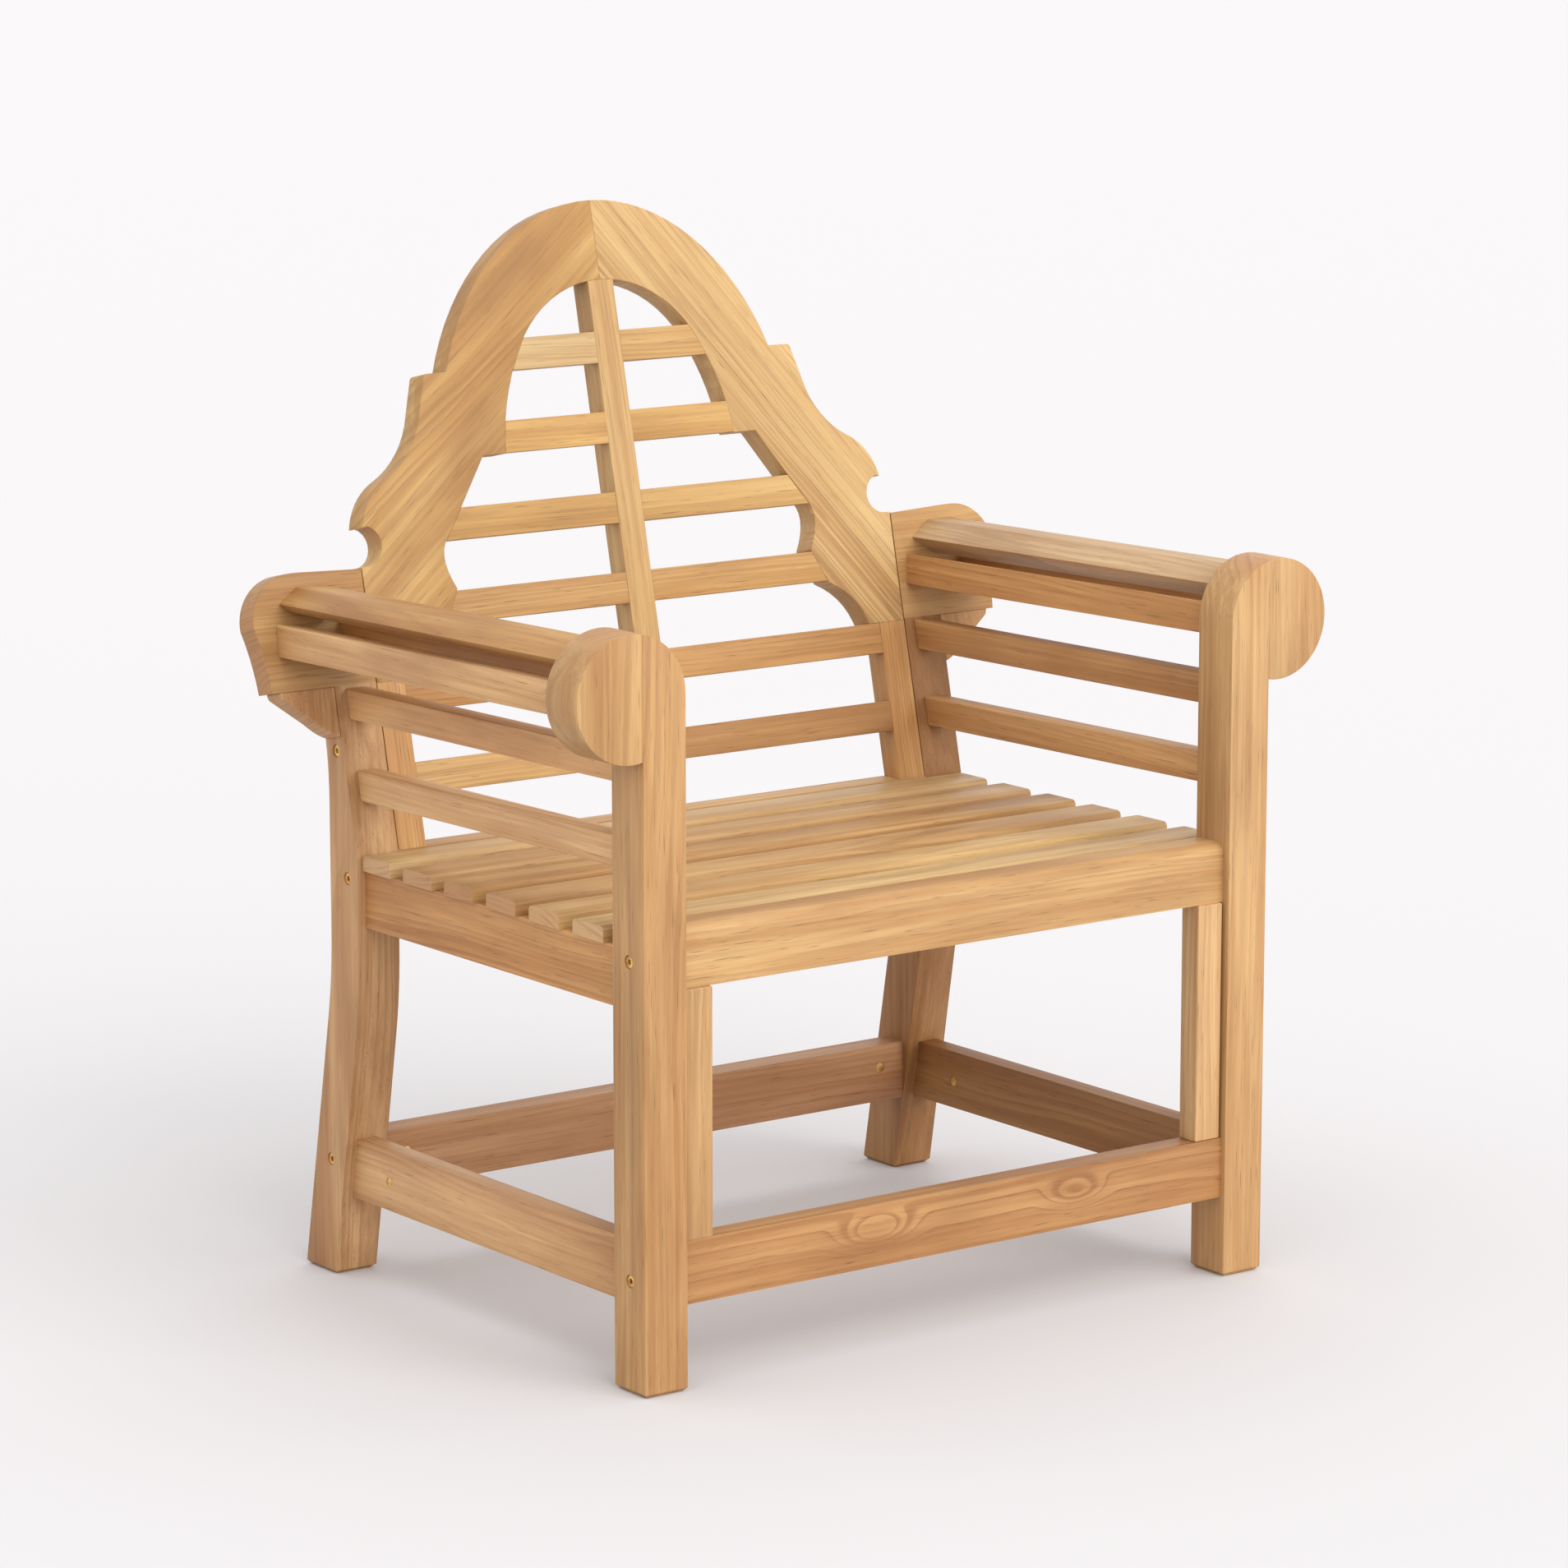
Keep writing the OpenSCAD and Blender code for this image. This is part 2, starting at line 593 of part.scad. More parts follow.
// --- arms ---
module arm_length(section_at, tilt) {
    sloped(scroll_x, scroll_z, arm_slope, leg_d, 0)
        translate(section_at) rotate(tilt) children();
}
module arm_top_slat() color(teak) difference() {
    arm_length([0, 0], 0) polygon([[-36, 31], [-12.5, 47.5], [16.5, 47.5], [38, 33], [29.5, 25], [-12, 13]]);
    arm_dowel_holes();
}
module arm_inner_slat() color(teak) difference() {
    arm_length(inner_slat_at, -inner_tilt) square([arm_slat_t, arm_slat_h], center = true);
    arm_dowel_holes();
}
module arm_outer_slat() color(teak) difference() {
    arm_length(outer_slat_at, outer_tilt) square([arm_slat_t, arm_slat_h], center = true);
    arm_dowel_holes();
}
module arm_rail(z) color(teak) {
    sloped(arm_rail_x, z, rail_slope, leg_d, 0) square([arm_rail_t, arm_rail_h], center = true);
    rail_tenon(z, 0, 0);
}

// --- low frame ---
module front_stretcher() color(teak) difference() {
    union() {
        block(
            [-half_open, stretcher_set, stretcher_z],
            [half_open, stretcher_set + stretcher_t, stretcher_top]
        );
        both() block(front_stretcher_tenon[0], front_stretcher_tenon[1]);
    }
    both() {
        across_bore(2);
        nut_bore(2, across[2][2] - 0.5, stretcher_set + stretcher_t + 1);
        pocket(upright_foot[0], upright_foot[1], [0, 0, 1]);
    }
}
module rear_stretcher() color(teak) difference() {
    union() {
        block(
            [-half_open, rear_stretcher_y, stretcher_z],
            [half_open, rear_stretcher_y + rear_stretcher_t, stretcher_top]
        );
        both() block(rear_stretcher_tenon[0], rear_stretcher_tenon[1]);
    }
    both() {
        across_bore(3);
        nut_bore(3, rear_stretcher_y - 1, rear_stretcher_y + nut_l + 1);
    }
}
module side_stretcher() color(teak) difference() {
    union() {
        side_view([
            [leg_d, stretcher_z], [leg_front_y(stretcher_z), stretcher_z],
            [leg_front_y(stretcher_top), stretcher_top], [leg_d, stretcher_top]
        ], side_stretcher_x - side_stretcher_t / 2, side_stretcher_x + side_stretcher_t / 2);
        block(side_stretcher_front[0], side_stretcher_front[1]);
        side_stretcher_rear_tenon(false);
    }
    side_bolt_bore();
    rod_x(side_nut_y, side_bolt_z, side_stretcher_x - side_stretcher_t / 2 - 1,
        side_stretcher_x + side_stretcher_t / 2 + 1, nut_r + joint_gap);
}
module front_upright() color(teak) union() {
    block(
        [upright_x - upright_w, stretcher_set, stretcher_top],
        [upright_x, stretcher_set + stretcher_t, front_rail_z]
    );
    block(upright_head[0], upright_head[1]);
    block(upright_foot[0], upright_foot[1]);
}

// --- fixings ---
// A socket-head bolt lying along -X with the top of its head at the origin
module bolt(length) difference() {
    union() {
        rod_x(0, 0, -head_l, 0, head_r);
        rod_x(0, 0, -head_l - length, 1 - head_l, bolt_r);
    }
    translate([-3, 0, 0]) rotate([0, 90, 0]) cylinder(r = socket_r, h = 4, $fn = 6);
}
module leg_bolts() color(brass) both() for (b = across)
    translate([half_w - head_sunk, b[0], b[1]]) bolt(bolt_l);
module stretcher_bolts() color(brass) both() {
    y1 = leg_rear_y(side_bolt_z) - head_sunk;
    translate([side_stretcher_x, y1, side_bolt_z]) rotate([0, 0, 90]) bolt(y1 - head_l - side_nut_y + nut_r + 3);
}
module stile_screws() color(brass) both()
    translate([half_w - head_sunk, stile_bolt[0], stile_bolt[1]])
        bolt(half_w - head_sunk - head_l - half_open + stile_w - stub_in);
module barrel_nuts() color(brass) both() {
    for (b = across) difference() {
        rod_y(nut_x, b[1], b[2], b[2] + nut_l, nut_r);
        rod_x(b[0], b[1], nut_x - 9, nut_x + 9, bolt_r + joint_gap);
    }
    difference() {
        rod_x(side_nut_y, side_bolt_z, side_stretcher_x - side_stretcher_t / 2 + 0.5,
            side_stretcher_x + side_stretcher_t / 2 - 0.5, nut_r);
        rod_y(side_stretcher_x, side_bolt_z, side_nut_y - 9, side_nut_y + 9, bolt_r + joint_gap);
    }
}
module seat_dowels() color(teak_pale) {
    both() seat_dowel_row(side_rail_x, 0);
    seat_dowel_row(0, 0);
}
module arm_dowels() color(teak_pale) both() for (at = [top_slat_pin, inner_slat_at, outer_slat_at])
    arm_dowel_pair(at, 0);

// --- the chair ---
place(left) front_leg();  // front_leg_l
place(right) front_leg();  // front_leg_r
place(left) front_scroll_block();  // front_scroll_block_l
place(right) front_scroll_block();  // front_scroll_block_r
place(left) rear_leg();  // rear_leg_l
place(right) rear_leg();  // rear_leg_r
place(left) rear_scroll();  // rear_scroll_l
place(right) rear_scroll();  // rear_scroll_r
place(left) rear_bracket();  // rear_bracket_l
place(right) rear_bracket();  // rear_bracket_r
place(left) back_arch(teak_brown);  // back_arch_l
place(right) back_arch(teak_pale);  // back_arch_r
place(left) back_stile();  // back_stile_l
place(right) back_stile();  // back_stile_r
place(right) back_muntin();
place(left) back_slat(0, teak);  // back_slat_l1
place(left) back_slat(1, teak_pale);  // back_slat_l2
place(left) back_slat(2, teak);  // back_slat_l3
place(left) back_slat(3, teak_pale);  // back_slat_l4
place(left) back_slat(4, teak);  // back_slat_l5
place(left) back_slat(5, teak_pale);  // back_slat_l6
place(right) back_slat(0, teak);  // back_slat_r1
place(right) back_slat(1, teak_pale);  // back_slat_r2
place(right) back_slat(2, teak);  // back_slat_r3
place(right) back_slat(3, teak_pale);  // back_slat_r4
place(right) back_slat(4, teak);  // back_slat_r5
place(right) back_slat(5, teak_pale);  // back_slat_r6
place(right) seat_front_rail();
place(right) seat_rear_rail();
place(left) seat_side_rail();  // seat_side_rail_l
place(right) seat_side_rail();  // seat_side_rail_r
place(right) seat_centre_bearer();
place(right) seat_slat(1);  // seat_slat_1
place(right) seat_slat(2);  // seat_slat_2
place(right) seat_slat(3);  // seat_slat_3
place(right) seat_slat(4);  // seat_slat_4
place(right) seat_slat(5);  // seat_slat_5
place(right) seat_slat(6);  // seat_slat_6
place(left) arm_top_slat();  // arm_top_slat_l
place(right) arm_top_slat();  // arm_top_slat_r
place(left) arm_inner_slat();  // arm_inner_slat_l
place(right) arm_inner_slat();  // arm_inner_slat_r
place(left) arm_outer_slat();  // arm_outer_slat_l
place(right) arm_outer_slat();  // arm_outer_slat_r
place(left) arm_rail(upper_rail_z);  // arm_upper_rail_l
place(right) arm_rail(upper_rail_z);  // arm_upper_rail_r
place(left) arm_rail(lower_rail_z);  // arm_lower_rail_l
place(right) arm_rail(lower_rail_z);  // arm_lower_rail_r
place(right) front_stretcher();
place(right) rear_stretcher();
place(left) side_stretcher();  // side_stretcher_l
place(right) side_stretcher();  // side_stretcher_r
place(left) front_upright();  // front_upright_l
place(right) front_upright();  // front_upright_r
place(right) leg_bolts();
place(right) stretcher_bolts();
place(right) stile_screws();
place(right) barrel_nuts();
place(right) seat_dowels();
place(right) arm_dowels();
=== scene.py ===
import math
import bpy
from mathutils import Matrix, Vector

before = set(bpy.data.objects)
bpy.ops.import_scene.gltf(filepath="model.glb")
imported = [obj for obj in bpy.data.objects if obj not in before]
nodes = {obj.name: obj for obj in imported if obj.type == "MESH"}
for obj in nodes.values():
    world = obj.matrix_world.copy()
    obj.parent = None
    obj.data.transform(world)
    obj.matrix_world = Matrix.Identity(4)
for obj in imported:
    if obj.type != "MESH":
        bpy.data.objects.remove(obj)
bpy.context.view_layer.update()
print("chair loaded:", len(nodes), "pieces")


def shade(red, green, blue):
    # a screen colour, 0 to 255, turned into light values by the sRGB curve
    def flat(c):
        c = c / 255
        return c / 12.92 if c <= 0.04045 else ((c + 0.055) / 1.055) ** 2.4
    return (flat(red), flat(green), flat(blue), 1.0)


# camera: where it stands round the chair, in degrees and metres
view = {
    "azimuth": -36.613, "elevation": 10.771, "distance": 5.772,
    "aim": (0.0156, -0.0116, 0.4907), "lens": 132.93, "sensor": 36, "farEnd": 100,
}


def makeCamera():
    a, e = math.radians(view["azimuth"]), math.radians(view["elevation"])
    back = Vector((math.sin(a) * math.cos(e), -math.cos(a) * math.cos(e), math.sin(e)))
    camera = bpy.data.objects.new("camera", bpy.data.cameras.new("camera"))
    bpy.context.scene.collection.objects.link(camera)
    camera.location = Vector(view["aim"]) + back * view["distance"]
    camera.rotation_mode = "QUATERNION"
    camera.rotation_quaternion = (-back).to_track_quat("-Z", "Y")
    camera.data.lens = view["lens"]
    camera.data.sensor_width = view["sensor"]
    camera.data.clip_end = view["farEnd"]
    bpy.context.scene.camera = camera


makeCamera()
print("camera set")


# teak: its colours, how strongly each pattern shows, and then the patterns themselves, with
# their repeats per metre along the grain and across it, and the noise values that show
teak = {
    "pale": shade(203, 164, 110), "honey": shade(168, 121, 71), "brown": shade(140, 93, 52),
    "pore": shade(96, 60, 34), "endPale": shade(184, 138, 92), "endDark": shade(166, 120, 79),
    "ringsPerMetre": 150, "ringStrength": 0.42, "wander": 0.06, "ripple": 0.005,
    "figure": 0.7, "mottle": 0.42, "bands": 0.5, "fibre": 1.0, "pores": 0.5, "endSpecks": 0.25,
    "boardSpread": 3, "heartAway": 0.09, "heartSwing": 0.05, "heartTurn": 5, "onEndFrom": 0.9,
    "ringCrowding": 0.4, "ringShift": 3.0, "lateFrom": 0.25, "lateTo": 0.93,
    "fibreDark": 0.16, "fibreLight": 0.1, "fibreRange": (0.25, 0.75), "endRange": (0.72, 0.95),
    "roughness": 0.5, "smoother": 0.06, "rougher": 0.12, "roughRange": (0.2, 0.8), "specular": 0.35,
    "bumpDepth": 0.0003, "bumpStrength": 0.5, "fibreRise": 0.6, "poreDip": 0.5, "ringDip": 0.15,
    "patterns": {
        "wander": {"scale": (1.1, 5, 5)},
        "ripple": {"scale": (6, 30, 30)},
        "faint": {"scale": (3, 26, 26), "start": (4, 0, 0), "show": (0.3, 0.68, 0.15, 1.0)},
        "figure": {"scale": (2.0, 22, 22), "detail": 3.0, "rough": 0.55, "show": (0.34, 0.7)},
        "mottle": {"scale": (3.5, 11, 11), "start": (0, 7, 0), "detail": 3.0, "show": (0.42, 0.74)},
        "bands": {
            "scale": (2.6, 75, 75), "start": (0, 0, 5), "detail": 3.0, "rough": 0.6,
            "show": (0.38, 0.68),
        },
        "fibre": {"scale": (7, 300, 300), "detail": 4.0, "rough": 0.6},
        "pores": {"scale": (30, 800, 800), "detail": 1.0, "show": (0.64, 0.78)},
        "endSpecks": {"scale": (300, 900, 900), "detail": 1.0, "show": (0.55, 0.75)},
    },
}
# three large uneven numbers, so that every board comes from another place in the pattern
boardSeeds = (12.9898, 78.233, 37.719)


def wire(tree, kind, **values):
    # a new node; in_NAME sets the socket of that name or number, anything else a setting
    node = tree.nodes.new(kind)
    for key, value in values.items():
        if key.startswith("in_"):
            slot = key[3:]
            slot = int(slot) if slot.isdigit() else slot.replace("_", " ")
            node.inputs[slot].default_value = value
        else:
            setattr(node, key, value)
    return node


def stretched(tree, source, scale, start=(0, 0, 0)):
    # the same board coordinates, drawn out along the grain
    node = wire(tree, "ShaderNodeMapping", in_Scale=scale, in_Location=start)
    tree.links.new(source, node.inputs["Vector"])
    return node.outputs["Vector"]


def noiseOn(tree, source, detail=2.0, rough=0.5):
    node = wire(tree, "ShaderNodeTexNoise", in_Scale=1.0, in_Detail=detail, in_Roughness=rough)
    tree.links.new(source, node.inputs["Vector"])
    return node.outputs["Fac"]


def sums(tree, what, a, b=0):
    node = wire(tree, "ShaderNodeMath", operation=what)
    for k, v in enumerate((a, b)):
        if isinstance(v, (int, float)):
            node.inputs[k].default_value = v
        else:
            tree.links.new(v, node.inputs[k])
    return node.outputs[0]


def between(tree, value, low, high, outLow=0.0, outHigh=1.0, smooth=True):
    node = wire(tree, "ShaderNodeMapRange", interpolation_type="SMOOTHSTEP" if smooth else "LINEAR")
    tree.links.new(value, node.inputs[0])
    for k, v in enumerate((low, high, outLow, outHigh)):
        node.inputs[k + 1].default_value = v
    return node.outputs[0]


def blendColour(tree, amount, a, b, how="MIX"):
    node = wire(tree, "ShaderNodeMix", data_type="RGBA", blend_type=how)
    for socket, v in ((node.inputs[0], amount), (node.inputs[6], a), (node.inputs[7], b)):
        if isinstance(v, (int, float, tuple)):
            socket.default_value = v
        else:
            tree.links.new(v, socket)
    return node.outputs[2]


def grainPattern(tree, board, name, mix):
    row = mix["patterns"][name]
    spot = stretched(tree, board, row["scale"], row.get("start", (0, 0, 0)))
    value = noiseOn(tree, spot, row.get("detail", 2.0), row.get("rough", 0.5))
    return between(tree, value, *row["show"]) if "show" in row else value


def boardPlace(tree, grain, spread):
    # coordinates of the board the piece was sawn from: X runs along the grain
    along = Vector(grain).normalized()
    onEnd = abs(along.z) > teak["onEndFrom"]
    side = along.orthogonal().normalized() if onEnd else along.cross(Vector((0, 0, 1))).normalized()
    turn = Matrix((along, side, along.cross(side).normalized())).to_euler("XYZ")
    place = wire(tree, "ShaderNodeTexCoord").outputs["Object"]
    board = wire(tree, "ShaderNodeMapping", in_Rotation=turn, in_Location=spread)
    tree.links.new(place, board.inputs["Vector"])
    return along, place, board.outputs["Vector"]


def knotPush(tree, place, spot, reach, push):
    # a small knot pushes the rings round itself
    near = wire(tree, "ShaderNodeVectorMath", operation="SUBTRACT")
    tree.links.new(place, near.inputs[0])
    near.inputs[1].default_value = spot
    flat = wire(tree, "ShaderNodeVectorMath", operation="DIVIDE")
    tree.links.new(near.outputs["Vector"], flat.inputs[0])
    flat.inputs[1].default_value = reach
    far = wire(tree, "ShaderNodeVectorMath", operation="LENGTH")
    tree.links.new(flat.outputs["Vector"], far.inputs[0])
    return between(tree, far.outputs["Value"], 0.0, 1.0, push, 0.0)


def growthRings(tree, place, board, seed, spread, mix):
    # distance from the heart of the tree, wandering along the board
    wander = grainPattern(tree, board, "wander", mix)
    ripple = grainPattern(tree, board, "ripple", mix)
    swing = mix["heartSwing"] * math.sin(seed * mix["heartTurn"])
    heart = wire(
        tree, "ShaderNodeMapping", in_Scale=(0, 1, 1),
        in_Location=(0, -spread[1] + swing, -spread[2] - mix["heartAway"]))
    tree.links.new(board, heart.inputs["Vector"])
    away = wire(tree, "ShaderNodeVectorMath", operation="LENGTH")
    tree.links.new(heart.outputs["Vector"], away.inputs[0])
    radius = sums(tree, "ADD", away.outputs["Value"], sums(tree, "MULTIPLY", wander, mix["wander"]))
    radius = sums(tree, "ADD", radius, sums(tree, "MULTIPLY", ripple, mix["ripple"]))
    for spot, reach, push in mix.get("knots", ()):
        radius = sums(tree, "ADD", radius, knotPush(tree, place, spot, reach, push))

    # good and poor years space the rings unevenly; each ring darkens slowly and ends sharply
    years = wire(tree, "ShaderNodeTexNoise", noise_dimensions="1D", in_Scale=1.0, in_Detail=2.0)
    crowding = mix["ringsPerMetre"] * mix["ringCrowding"]
    tree.links.new(sums(tree, "MULTIPLY", radius, crowding), years.inputs["W"])
    shift = sums(tree, "MULTIPLY", years.outputs["Fac"], mix["ringShift"])
    ring = sums(tree, "ADD", sums(tree, "MULTIPLY", radius, mix["ringsPerMetre"]), shift)
    ring = sums(tree, "FRACT", ring)
    darken = between(tree, ring, mix["lateFrom"], mix["lateTo"])
    late = sums(tree, "MULTIPLY", darken, between(tree, ring, mix["lateTo"], 1.0, 1.0, 0.0))
    return sums(tree, "MULTIPLY", late, grainPattern(tree, board, "faint", mix))


def teakFinish(name, grain, seed, toneAndLight=(1, 1, 1), look=None):
    # grain: the direction the board was sawn along; seed: which board it came from
    mix = dict(teak, **(look or {}))
    material = bpy.data.materials.new(name)
    material.use_nodes = True
    tree = material.node_tree
    shader = tree.nodes["Principled BSDF"]
    spread = [math.sin(seed * k) * mix["boardSpread"] for k in boardSeeds]
    along, place, board = boardPlace(tree, grain, spread)

    rings = growthRings(tree, place, board, seed, spread, mix)
    figure, mottle, bands, fibre, pores, specks = [
        grainPattern(tree, board, pattern, mix)
        for pattern in ("figure", "mottle", "bands", "fibre", "pores", "endSpecks")]

    # long grain, from the palest wood down to the open pores
    colour = mix["pale"]
    for pattern, strength, tint in (
            (figure, "figure", "honey"), (rings, "ringStrength", "brown"),
            (bands, "bands", "honey"), (mottle, "mottle", "brown")):
        amount = sums(tree, "MULTIPLY", pattern, mix[strength])
        colour = blendColour(tree, amount, colour, mix[tint])
    dark, light = 1 - mix["fibreDark"] * mix["fibre"], 1 + mix["fibreLight"] * mix["fibre"]
    streak = between(tree, fibre, *mix["fibreRange"], dark, light, False)
    grey = wire(tree, "ShaderNodeCombineColor")
    for k in range(3):
        tree.links.new(streak, grey.inputs[k])
    colour = blendColour(tree, 1.0, colour, grey.outputs[0], "MULTIPLY")
    colour = blendColour(tree, sums(tree, "MULTIPLY", pores, mix["pores"]), colour, mix["pore"])

    # sawn ends show the rings as arcs
    facing = wire(tree, "ShaderNodeVectorMath", operation="DOT_PRODUCT")
    normal = wire(tree, "ShaderNodeNewGeometry")
    tree.links.new(normal.outputs["Normal"], facing.inputs[0])
    facing.inputs[1].default_value = along
    sawn = between(tree, sums(tree, "ABSOLUTE", facing.outputs["Value"]), *mix["endRange"])
    endGrain = blendColour(tree, rings, mix["endPale"], mix["endDark"])
    specks = sums(tree, "MULTIPLY", specks, mix["endSpecks"])
    endGrain = blendColour(tree, specks, endGrain, mix["pore"])
    colour = blendColour(tree, sawn, colour, endGrain)
    # each piece's colour factor, fitted to how bright that piece looks: partly the board's own
    # tone, partly painted light and shade, as on the pieces in shade under the seat
    colour = blendColour(tree, 1.0, colour, (*toneAndLight, 1.0), "MULTIPLY")
    tree.links.new(colour, shader.inputs["Base Color"])

    smooth, rough = mix["roughness"] - mix["smoother"], mix["roughness"] + mix["rougher"]
    sheen = between(tree, fibre, *mix["roughRange"], smooth, rough, False)
    tree.links.new(sheen, shader.inputs["Roughness"])
    height = sums(tree, "MULTIPLY", fibre, mix["fibreRise"])
    height = sums(tree, "SUBTRACT", height, sums(tree, "MULTIPLY", pores, mix["poreDip"]))
    height = sums(tree, "SUBTRACT", height, sums(tree, "MULTIPLY", rings, mix["ringDip"]))
    bump = wire(
        tree, "ShaderNodeBump", in_Strength=mix["bumpStrength"], in_Distance=mix["bumpDepth"])
    tree.links.new(height, bump.inputs["Height"])
    tree.links.new(bump.outputs["Normal"], shader.inputs["Normal"])
    shader.inputs["Specular IOR Level"].default_value = mix["specular"]
    return material


# edges: lengths in metres, angles in degrees; flat faces are joined whole before the sanding
sanding = {"weld": 0.00002, "flatWithin": 0.6, "sharpFrom": 28, "steps": 3}


def softenEdges(piece, radius, steps=sanding["steps"]):
    weld = piece.modifiers.new("weld", "WELD")
    weld.merge_threshold = sanding["weld"]
    join = piece.modifiers.new("wholeFaces", "DECIMATE")
    join.decimate_type = "DISSOLVE"
    join.angle_limit = math.radians(sanding["flatWithin"])
    soft = piece.modifiers.new("sandedEdges", "BEVEL")
    soft.width = radius
    soft.segments = steps
    soft.limit_method = "ANGLE"
    soft.angle_limit = math.radians(sanding["sharpFrom"])
    soft.harden_normals = True
    soft.use_clamp_overlap = True
    for face in piece.data.polygons:
        face.use_smooth = True


# directions the boards run in; the back leans by this angle
lean = math.radians(12.65)
acrossChair, frontToBack, upright = (1, 0, 0), (0, 1, 0), (0, 0, 1)
upBack = (0, math.sin(lean), math.cos(lean))


def finishPiece(name, grain, seed, radius, toneAndLight, look=None):
    piece = nodes[name]
    piece.data.materials.clear()
    piece.data.materials.append(teakFinish(name + "Teak", grain, seed, toneAndLight, look))
    softenEdges(piece, radius)


# the back: an arch in two halves, each board sloping to the crown
archHalves = {
    "l": {"slope": 38, "seed": 1.3, "toneAndLight": (0.94, 0.98, 0.88),
          "look": {"mottle": 0.75, "figure": 0.9, "ringsPerMetre": 70, "ringStrength": 0.5,
                   "wander": 0.12}},
    "r": {"slope": -52, "seed": 2.7, "toneAndLight": (0.95, 1.01, 1.03),
          "look": {"mottle": 0.15, "figure": 0.4, "ringsPerMetre": 130, "ringStrength": 0.6,
                   "wander": 0.02}},
    "edge": 0.0018,
}
for half in "lr":
    board = archHalves[half]
    a = math.radians(board["slope"])
    limb = Vector(acrossChair) * math.cos(a) + Vector(upBack) * math.sin(a)
    finishPiece(
        "back_arch_" + half, limb, board["seed"], archHalves["edge"], board["toneAndLight"], board["look"])

backFrame = {
    "edge": 0.0011, "firstBoard": 3.1, "boardStep": 1.1,
    "tonesAndLight": {
        "muntin": (0.95, 1.01, 1.03), "stile_l": (1.25, 1.30, 1.35), "stile_r": (0.93, 0.85, 0.73),
    },
}
for k, (name, toneAndLight) in enumerate(backFrame["tonesAndLight"].items()):
    seed = backFrame["firstBoard"] + backFrame["boardStep"] * k
    finishPiece("back_" + name, upBack, seed, backFrame["edge"], toneAndLight)

backSlats = {
    "edge": 0.001, "firstBoard": 10.0, "boardStep": 1.7,
    "leastMottle": 0.25, "moreMottle": 0.35, "mottleTurn": 4.1,
    "tonesAndLight": {
        "l1": (1.00, 1.19, 1.42), "r1": (1.11, 1.22, 1.18), "l2": (1.00, 1.01, 0.86),
        "r2": (0.95, 0.96, 0.81), "l3": (0.78, 0.73, 0.57), "r3": (0.90, 0.92, 0.81),
        "l4": (0.78, 0.73, 0.65), "r4": (1.05, 1.09, 1.01), "l5": (0.85, 0.78, 0.71),
        "r5": (0.85, 0.78, 0.71), "l6": (1.10, 1.20, 1.24), "r6": (0.72, 0.64, 0.58),
    },
}
for k, (row, toneAndLight) in enumerate(backSlats["tonesAndLight"].items()):
    seed = backSlats["firstBoard"] + backSlats["boardStep"] * k
    stained = math.sin(seed * backSlats["mottleTurn"]) ** 2
    look = {"mottle": backSlats["leastMottle"] + backSlats["moreMottle"] * stained}
    finishPiece("back_slat_" + row, acrossChair, seed, backSlats["edge"], toneAndLight, look)
print("back finished")

# legs and scrolls
# the colour factors below mix each board's own tone with painted light and shade; rear_leg_r is
# darkened with painted shade from under the seat
legs = {
    "tonesAndLight": {
        "front_leg_l": (0.89, 0.85, 0.84), "front_leg_r": (0.96, 0.95, 1.00),
        "front_scroll_block_l": (0.93, 0.93, 0.94), "front_scroll_block_r": (1.00, 1.03, 1.12),
        "rear_leg_l": (0.91, 0.88, 0.99), "rear_leg_r": (0.61, 0.50, 0.42),
        "rear_scroll_l": (0.79, 0.76, 0.72), "rear_scroll_r": (0.97, 0.99, 0.98),
        "rear_bracket_l": (1.03, 1.02, 1.13), "rear_bracket_r": (1.03, 1.02, 1.13),
    },
    "edges": {
        "front_leg": 0.0026, "front_scroll_block": 0.0012,
        "rear_leg": 0.002, "rear_scroll": 0.003, "rear_bracket": 0.0015,
    },
    # a leg and its scroll block are glued up from one board
    "boards": {
        "front_leg": 31.0, "front_scroll_block": 31.0,
        "rear_leg": 33.6, "rear_scroll": 36.2, "rear_bracket": 38.8,
    },
    "rightBoard": 7.7,
}
for name, toneAndLight in legs["tonesAndLight"].items():
    part, half = name[:-2], name[-1]
    grain = acrossChair if part == "rear_scroll" else upright
    seed = legs["boards"][part] + (0 if half == "l" else legs["rightBoard"])
    finishPiece(name, grain, seed, legs["edges"][part], toneAndLight)

# arms: three slats wrapped round each arm, and two rails under it
arms = {
    "slatEdge": 0.0025, "railEdge": 0.0016, "firstBoard": 44.0, "boardStep": 1.1,
    "look": {"mottle": 0.6},
    "tonesAndLight": {
        "top_slat_l": (0.88, 0.82, 0.72), "top_slat_r": (0.97, 1.09, 1.45),
        "inner_slat_l": (0.85, 0.67, 0.51), "inner_slat_r": (0.93, 0.81, 0.74),
        "outer_slat_l": (1.14, 1.16, 1.31), "outer_slat_r": (1.14, 1.16, 1.31),
        "upper_rail_l": (1.27, 1.21, 1.29), "upper_rail_r": (0.94, 0.86, 0.86),
        "lower_rail_l": (1.20, 1.24, 1.45), "lower_rail_r": (0.96, 0.88, 0.87),
    },
}
for k, (name, toneAndLight) in enumerate(arms["tonesAndLight"].items()):
    edge = arms["slatEdge"] if "slat" in name else arms["railEdge"]
    seed = arms["firstBoard"] + arms["boardStep"] * k
    finishPiece("arm_" + name, frontToBack, seed, edge, toneAndLight, arms["look"])
print("legs and arms finished")

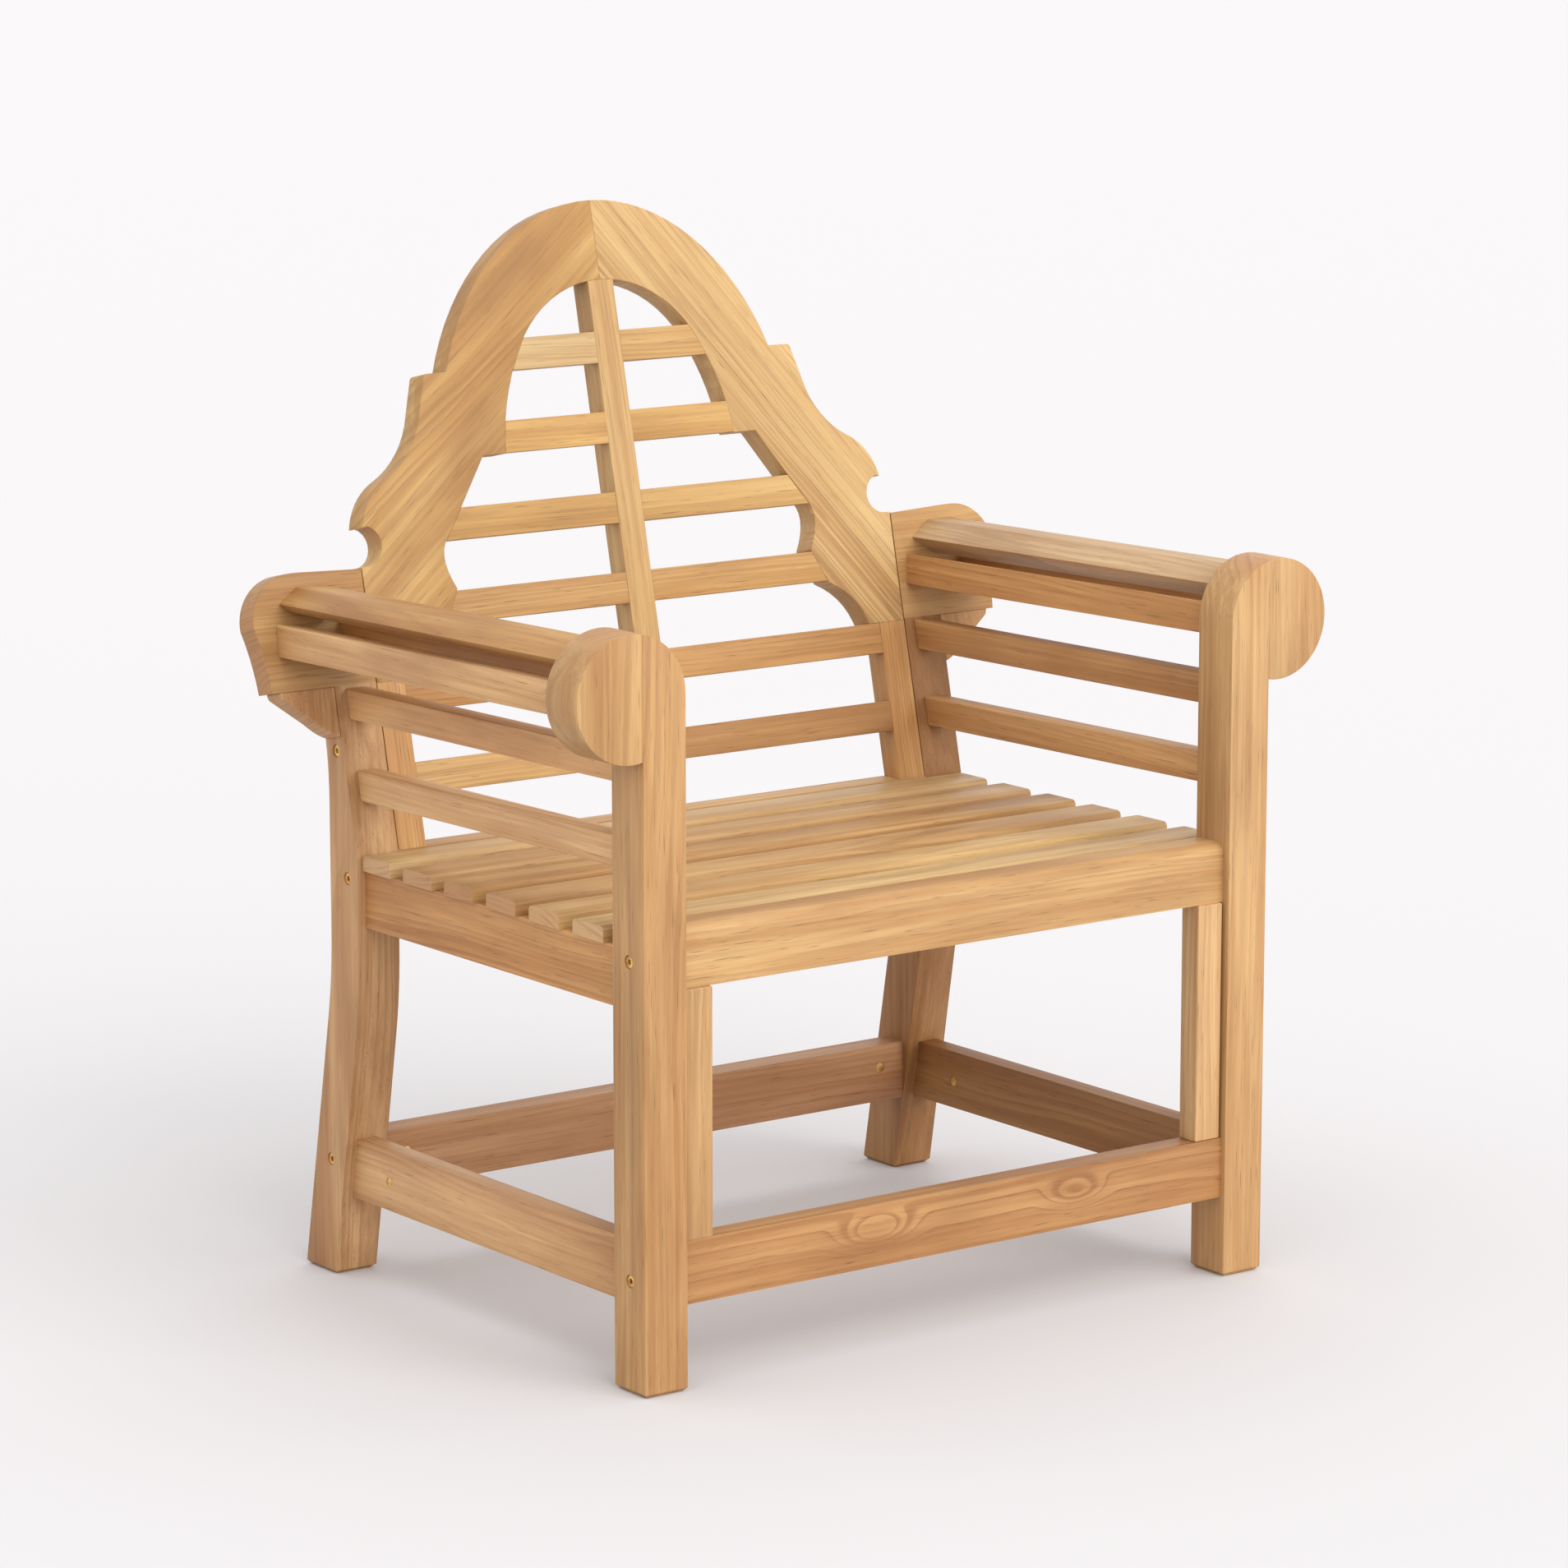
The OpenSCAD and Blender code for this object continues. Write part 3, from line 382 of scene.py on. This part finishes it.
# seat: six slats over four rails and a bearer
seat = {
    "slatEdge": 0.001, "railEdge": 0.0016, "firstBoard": 60.0, "boardStep": 1.3,
    "look": {"mottle": 0.35},
    "tonesAndLight": {
        "slat_1": (1.12, 1.30, 1.45), "slat_2": (1.08, 1.18, 1.21),
        "slat_3": (0.94, 0.95, 0.96), "slat_4": (0.86, 0.83, 0.78),
        "slat_5": (0.93, 0.96, 1.02), "slat_6": (1.03, 1.16, 1.33),
        "front_rail": (0.98, 0.99, 1.02), "rear_rail": (0.95, 0.93, 0.92),
        "side_rail_l": (0.93, 0.78, 0.68), "side_rail_r": (0.93, 0.78, 0.68),
        "centre_bearer": (0.95, 0.93, 0.92),
    },
}
for k, (name, toneAndLight) in enumerate(seat["tonesAndLight"].items()):
    grain = frontToBack if "side" in name or "centre" in name else acrossChair
    edge = seat["slatEdge"] if "slat" in name else seat["railEdge"]
    seed = seat["firstBoard"] + seat["boardStep"] * k
    finishPiece("seat_" + name, grain, seed, edge, toneAndLight, seat["look"])

# low frame; each knot gives its place, how far it reaches, and how hard it pushes the rings
lowFrame = {
    "edge": 0.0018, "firstBoard": 80.0, "boardStep": 1.1,
    # colour factors mix board tone with painted light and shade: side_stretcher_r carries painted
    # shade from under the seat, and front_stretcher painted shade for sitting low
    "tonesAndLight": {
        "front_stretcher": (0.82, 0.71, 0.66), "rear_stretcher": (0.85, 0.76, 0.89),
        "side_stretcher_l": (1.03, 0.99, 1.11), "side_stretcher_r": (0.58, 0.46, 0.36),
        "front_upright_l": (0.93, 0.95, 1.00), "front_upright_r": (1.11, 1.18, 1.37),
    },
    "figured": {
        "front_stretcher": {
            "ringsPerMetre": 130, "ringStrength": 0.6, "wander": 0.05, "mottle": 0.5,
            "knots": (
                ((-0.104, -0.32, 0.115), (0.075, 0.2, 0.03), 0.026),
                ((0.142, -0.32, 0.117), (0.06, 0.2, 0.024), 0.02),
            ),
        },
    },
}
for k, (name, toneAndLight) in enumerate(lowFrame["tonesAndLight"].items()):
    grain = upright if "upright" in name else frontToBack if "side" in name else acrossChair
    seed = lowFrame["firstBoard"] + lowFrame["boardStep"] * k
    finishPiece(name, grain, seed, lowFrame["edge"], toneAndLight, lowFrame["figured"].get(name))
print("seat and low frame finished")

# dowels: hidden in their holes, and finished as the boards are
dowels = {"names": ("seat_dowels", "arm_dowels"), "firstBoard": 90}
for k, name in enumerate(dowels["names"]):
    nodes[name].data.materials.clear()
    nodes[name].data.materials.append(teakFinish(name + "Beech", upright, dowels["firstBoard"] + k))

# bolts, screws and nuts: yellow zinc plate, a little worn
fixings = {
    "names": ("leg_bolts", "stretcher_bolts", "stile_screws", "barrel_nuts"),
    "plate": shade(232, 196, 116), "worn": shade(190, 138, 92), "patches": (140, 140, 140),
    "roughness": 0.42, "smoother": 0.08, "rougher": 0.16, "wearRange": (0.35, 0.7),
    "roughRange": (0.3, 0.7), "patchStep": 3.0, "edge": 0.0004, "edgeSteps": 2,
}


def platedFinish(name, seed):
    material = bpy.data.materials.new(name)
    material.use_nodes = True
    tree = material.node_tree
    shader = tree.nodes["Principled BSDF"]
    place = wire(tree, "ShaderNodeTexCoord")
    spot = stretched(tree, place.outputs["Object"], fixings["patches"], (seed, seed, 0))
    patchy = noiseOn(tree, spot, 4.0)
    wear = between(tree, patchy, *fixings["wearRange"])
    colour = blendColour(tree, wear, fixings["plate"], fixings["worn"])
    tree.links.new(colour, shader.inputs["Base Color"])
    smooth, rough = (
        fixings["roughness"] - fixings["smoother"], fixings["roughness"] + fixings["rougher"])
    gloss = between(tree, patchy, *fixings["roughRange"], smooth, rough)
    tree.links.new(gloss, shader.inputs["Roughness"])
    shader.inputs["Metallic"].default_value = 1.0
    return material


for k, name in enumerate(fixings["names"]):
    nodes[name].data.materials.clear()
    nodes[name].data.materials.append(platedFinish(name + "Plated", fixings["patchStep"] * k))
    softenEdges(nodes[name], fixings["edge"], fixings["edgeSteps"])
print("fixings finished")

# studio: one wide soft light from the front, and an even sky
studio = {
    "floor": shade(206, 204, 206), "floorReach": 30, "floorRoughness": 0.9,
    "sky": (1.0, 1.0, 1.0, 1.0), "skyStrength": 1.22,
    "lampFrom": (0.10, -0.88, 0.46), "lampColour": (1.0, 0.98, 0.95),
    "lampStrength": 2.0, "lampWidth": 60,
}


def makeStudio():
    mesh = bpy.data.meshes.new("floor")
    r = studio["floorReach"]
    mesh.from_pydata([(-r, -r, 0), (r, -r, 0), (r, r, 0), (-r, r, 0)], [], [(0, 1, 2, 3)])
    floor = bpy.data.objects.new("floor", mesh)
    bpy.context.scene.collection.objects.link(floor)
    paper = bpy.data.materials.new("paleFloor")
    paper.use_nodes = True
    surface = paper.node_tree.nodes["Principled BSDF"]
    surface.inputs["Base Color"].default_value = studio["floor"]
    surface.inputs["Roughness"].default_value = studio["floorRoughness"]
    mesh.materials.append(paper)
    world = bpy.data.worlds.new("studioAir")
    world.use_nodes = True
    air = world.node_tree.nodes["Background"]
    air.inputs["Color"].default_value = studio["sky"]
    air.inputs["Strength"].default_value = studio["skyStrength"]
    bpy.context.scene.world = world
    lamp = bpy.data.lights.new("windowLight", "SUN")
    lamp.energy = studio["lampStrength"]
    lamp.color = studio["lampColour"]
    lamp.angle = math.radians(studio["lampWidth"])
    holder = bpy.data.objects.new("windowLight", lamp)
    bpy.context.scene.collection.objects.link(holder)
    holder.rotation_mode = "QUATERNION"
    holder.rotation_quaternion = Vector(studio["lampFrom"]).to_track_quat("Z", "Y")
    bpy.context.scene.view_settings.view_transform = "Standard"


makeStudio()
print("studio set")
